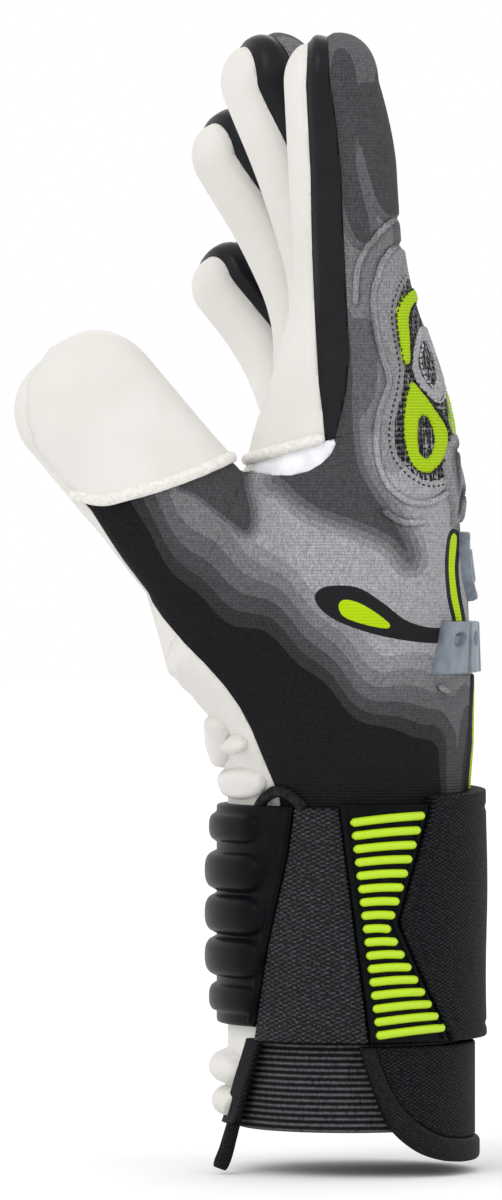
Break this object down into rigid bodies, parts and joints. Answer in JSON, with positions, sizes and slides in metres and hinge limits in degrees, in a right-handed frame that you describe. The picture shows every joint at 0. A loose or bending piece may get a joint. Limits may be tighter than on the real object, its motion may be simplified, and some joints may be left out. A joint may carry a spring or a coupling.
{
  "type": "goalkeeper glove",
  "caption": "Right-hand goalkeeper glove with latex palm, gusseted fingers, padded knit backhand and a peel-open wrist strap on an elastic cuff.",
  "frame": {"origin": "centre of the cuff opening, in the plane of the cuff's lower edge", "axes": "+Z from the cuff to the fingertips, +X out of the back of the hand, -X out of the palm, -Y the thumb side"},
  "size_m": [0.1197, 0.1208, 0.2917],
  "materials": {
    "latex": "matt natural latex foam with a fine grain",
    "knit": "engineered knit with grey contour bands",
    "knit_dark": "padded charcoal knit",
    "gusset": "black polyurethane-coated side fabric, satin",
    "elastic": "coarse woven black elastic",
    "cuff_knit": "ribbed black elastic bandage with pale flecks",
    "binding": "black edge binding tape",
    "loop_pile": "black loop pile",
    "liner": "white lining fabric",
    "hook_pile": "black moulded hooks",
    "rubber": "moulded black rubber, satin",
    "lime": "moulded lime rubber print, satin",
    "slate": "moulded slate-grey rubber, matt"
  },
  "bodies": {
    "hand": {"palm_latex": "latex", "backhand_knit": "knit", "thumb_side_knit": "knit", "outer_side_knit": "knit", "hand_knuckle_pad": "knit", "dorsal_flash": "lime", "dorsal_badge": "slate", "dorsal_grip_bar": "slate", "crotch_liner": "liner", "wrist_bandage": "cuff_knit", "wrist_palm_latex": "latex", "strap_palm_pad": "rubber", "strap_elastic": "elastic", "strap_anchor": "elastic", "cuff_loop_patch": "loop_pile", "heel_tab": "knit_dark", "heel_tab_binding": "binding", "cuff_edge_tape": "binding"},
    "strap": {"strap_badge": "rubber", "strap_badge_bars": "lime", "strap_closure_tab": "elastic", "strap_hook_patch": "hook_pile"},
    "pull_loop": {"pull_loop": "binding"},
    "thumb": {"thumb_palm_latex": "latex", "thumb_cap_latex": "latex", "thumb_back_knit": "knit"},
    "index_finger": {"index_palm_latex": "latex", "index_gusset": "gusset", "index_back_knit": "knit", "index_knuckle_pad": "knit"},
    "middle_finger": {"middle_palm_latex": "latex", "middle_gusset": "gusset", "middle_back_knit": "knit", "middle_knuckle_pad": "knit"},
    "ring_finger": {"ring_palm_latex": "latex", "ring_gusset": "gusset", "ring_back_knit": "knit", "ring_knuckle_pad": "knit"},
    "little_finger": {"little_palm_latex": "latex", "little_gusset": "gusset", "little_back_knit": "knit", "little_knuckle_pad": "knit"}
  },
  "joints": [
    {"name": "index_flex", "type": "hinge", "parent": "hand", "child": "index_finger", "pos_m": [-0.00696, -0.038, 0.18111], "axis": [0, -1, 0], "range_deg": [-8, 55], "stiffness_Nm_per_rad": 0.12},
    {"name": "middle_flex", "type": "hinge", "parent": "hand", "child": "middle_finger", "pos_m": [-0.00586, -0.0126, 0.18036], "axis": [0, -1, 0], "range_deg": [-8, 55], "stiffness_Nm_per_rad": 0.12},
    {"name": "ring_flex", "type": "hinge", "parent": "hand", "child": "ring_finger", "pos_m": [-0.00979, 0.0128, 0.17797], "axis": [0, -1, 0], "range_deg": [-8, 55], "stiffness_Nm_per_rad": 0.12},
    {"name": "little_flex", "type": "hinge", "parent": "hand", "child": "little_finger", "pos_m": [-0.01421, 0.037, 0.17211], "axis": [0, -1, 0], "range_deg": [-8, 55], "stiffness_Nm_per_rad": 0.12},
    {"name": "thumb_flex", "type": "hinge", "parent": "hand", "child": "thumb", "pos_m": [-0.0368, -0.037, 0.148], "axis": [-0.7649, 0, -0.6441], "range_deg": [-15, 35], "stiffness_Nm_per_rad": 0.12},
    {"name": "strap_peel", "type": "hinge", "parent": "hand", "child": "strap", "pos_m": [0.00138, -0.0396, 0.0515], "axis": [0.1309, 0, -0.9914], "range_deg": [0, 120]},
    {"name": "pull_loop_swing", "type": "hinge", "parent": "hand", "child": "pull_loop", "pos_m": [-0.028, -0.019, -0.002], "axis": [-0.462, 0.8869, 0], "range_deg": [-60, 60], "stiffness_Nm_per_rad": 0.0003}
  ]
}
